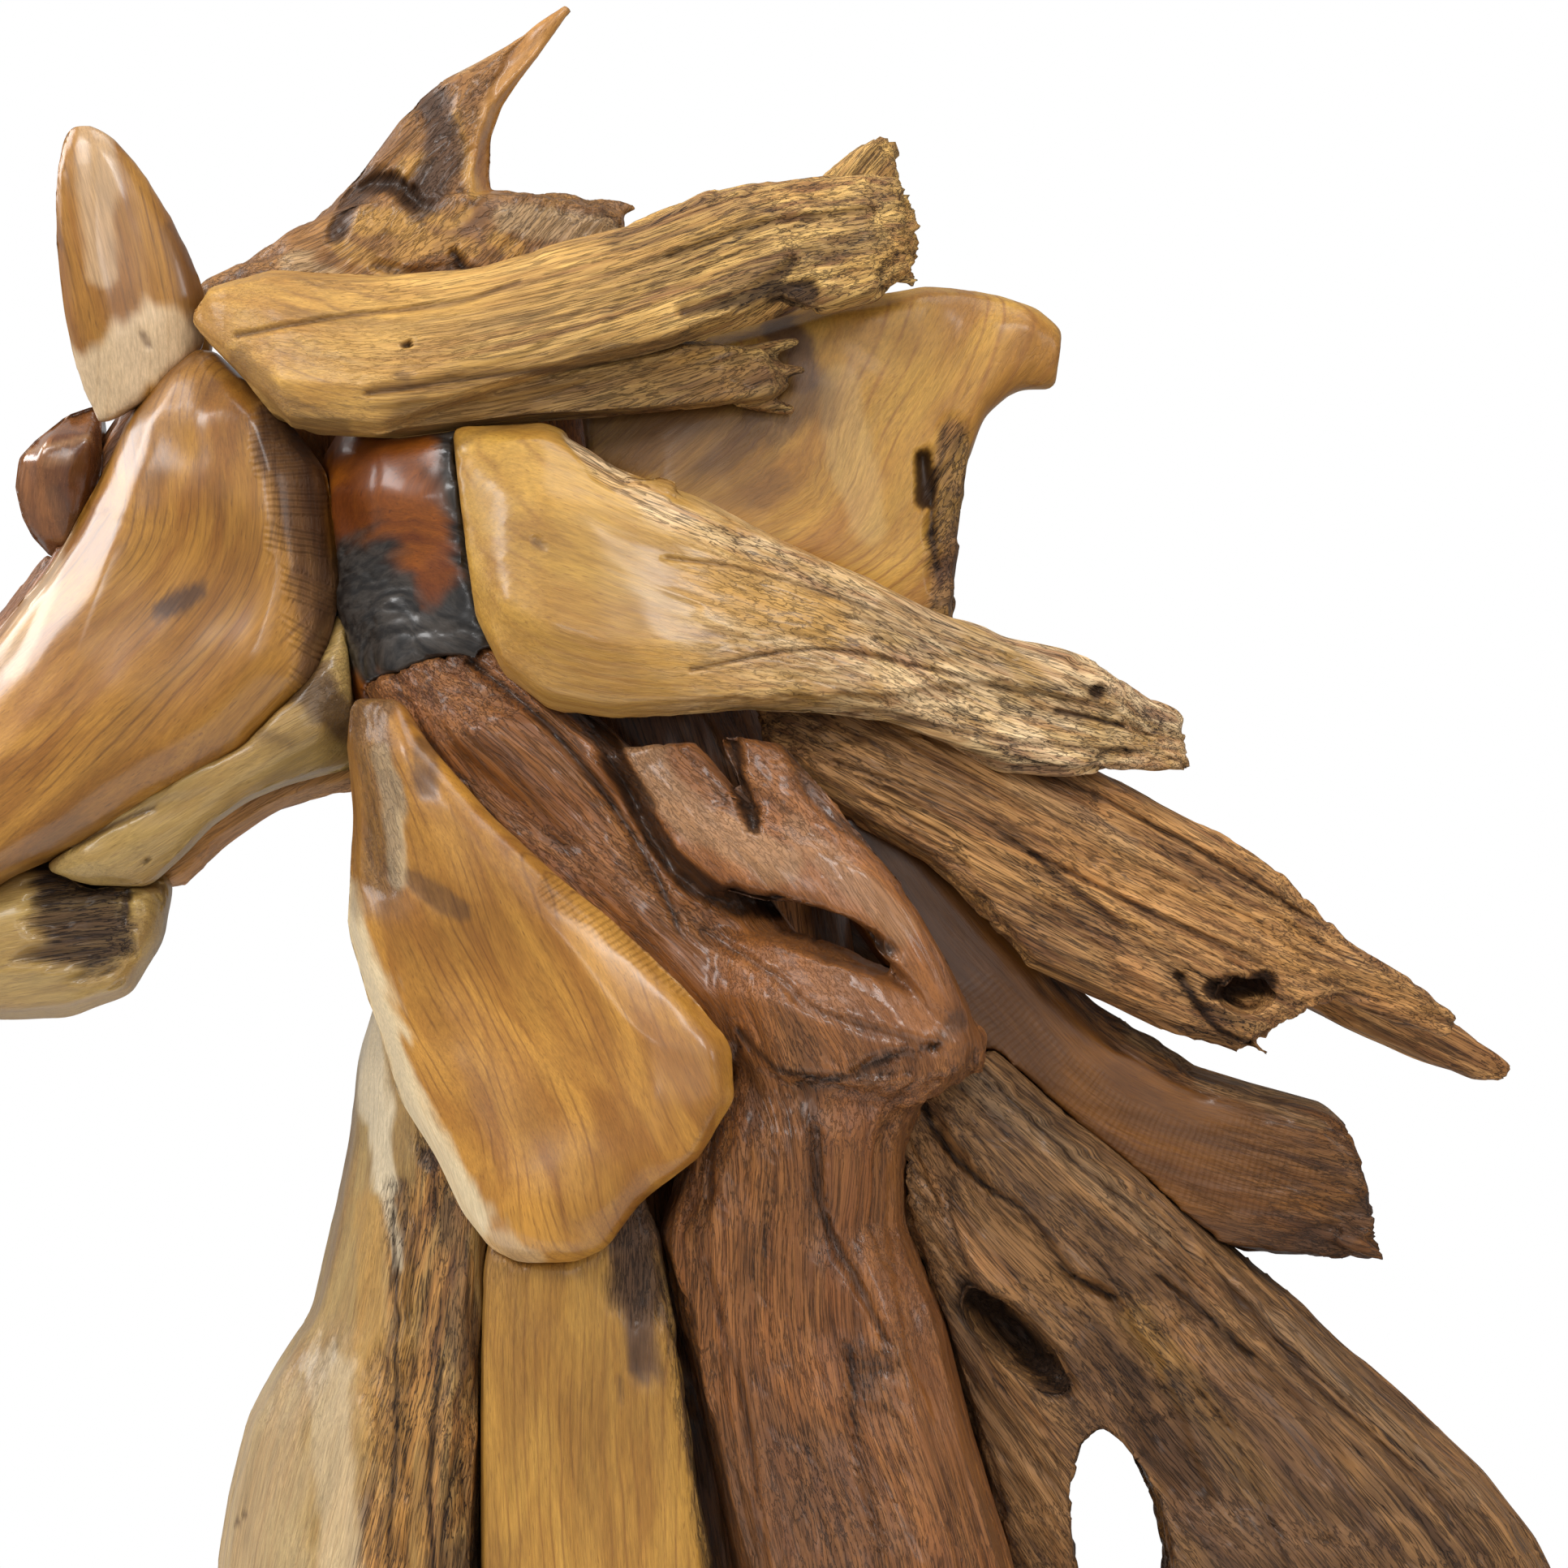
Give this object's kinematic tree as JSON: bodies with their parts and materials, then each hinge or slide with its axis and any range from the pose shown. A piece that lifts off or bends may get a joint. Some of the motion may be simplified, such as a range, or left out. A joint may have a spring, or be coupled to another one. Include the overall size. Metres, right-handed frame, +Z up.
{
  "type": "driftwood horse head sculpture",
  "caption": "Horse head and neck built up from teak driftwood: polished cheek and ear, sawn boards, and weathered root pieces fanning back as the mane.",
  "frame": {"origin": "the middle of the box round the bust, on its flat underside", "axes": "+X runs from the muzzle to the mane, +Y from the side that is finished best to the far side, +Z is up"},
  "size_m": [1.1258, 0.3496, 1.07],
  "materials": {
    "polished_honey": "clear lacquer over sanded heartwood",
    "polished_amber": "clear lacquer over sanded heartwood",
    "weathered_straw": "lightly oiled weathered grain",
    "polished_to_weathered": "lacquer running out into weathered grain",
    "oiled_root": "oiled root with a soft gloss",
    "weathered_brown": "weathered grain",
    "sawn_honey": "sawn board, thin lacquer",
    "weathered_root": "weathered grey-brown root",
    "sapwood_and_bark": "pale sapwood with rough brown heart",
    "olive_sapwood": "sanded sapwood, thin lacquer",
    "dark_gloss": "glossy dark heart",
    "scorched_burl": "scorched black with a red-brown polished burl",
    "smooth_honey": "sanded heartwood, satin",
    "sawn_amber": "sawn face, satin",
    "weathered_forelock": "weathered root with pale and dark patches"
  },
  "bodies": {
    "root": {"near_cheek": "polished_honey", "neck_shield": "polished_amber", "crest_plank": "weathered_straw", "mane_plank": "polished_to_weathered", "neck_root": "oiled_root", "mane_spear": "weathered_brown", "front_board": "sawn_honey", "hollow_root": "weathered_root", "chest_log": "sapwood_and_bark", "near_jaw": "olive_sapwood", "brow_block": "dark_gloss", "nape_burl": "scorched_burl", "mane_fan": "smooth_honey", "mane_slab": "sawn_amber", "forelock_root": "weathered_forelock", "far_cheek": "polished_honey", "far_jaw": "weathered_brown", "chin_block": "olive_sapwood", "near_ear": "polished_honey", "far_ear": "polished_honey", "far_neck_shield": "polished_amber", "far_crest_plank": "weathered_straw", "far_mane_plank": "weathered_brown", "far_mane_spear": "weathered_brown", "far_mane_slab": "sawn_amber", "far_chest_log": "sapwood_and_bark", "far_nape": "oiled_root", "far_neck_root": "oiled_root", "forehead_strip": "oiled_root"}
  },
  "joints": []
}
